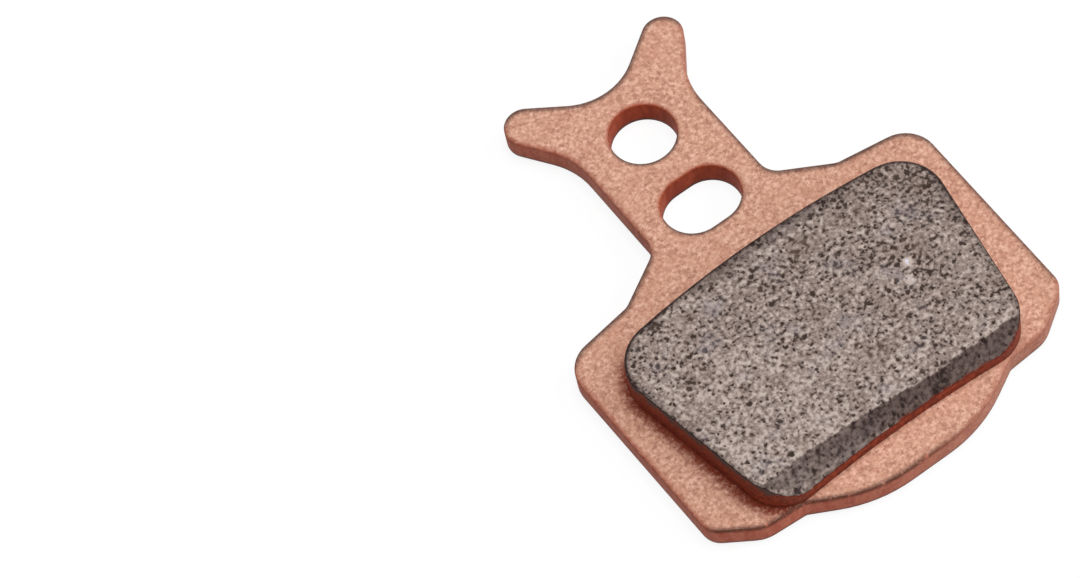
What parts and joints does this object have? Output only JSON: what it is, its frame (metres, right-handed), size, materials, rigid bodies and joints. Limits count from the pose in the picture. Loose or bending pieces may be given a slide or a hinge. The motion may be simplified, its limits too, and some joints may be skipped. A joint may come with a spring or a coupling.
{
  "type": "bicycle disc brake pad",
  "caption": "Disc brake pad: copper-plated steel plate with an eared tail, a pin hole and a slot, carrying a bonded sintered friction block that presses on the rotor.",
  "frame": {"origin": "on the axis of the retaining-pin hole, in the plate's back face", "axes": "+Z out of the friction face, +Y along the tail towards the ears, X across the pad"},
  "size_m": [0.028, 0.037, 0.0041],
  "materials": {
    "copper_plated_steel": "matte",
    "sintered_metal": "matte"
  },
  "bodies": {
    "root": {"backing_plate": "copper_plated_steel", "friction_pad": "sintered_metal"}
  },
  "joints": []
}
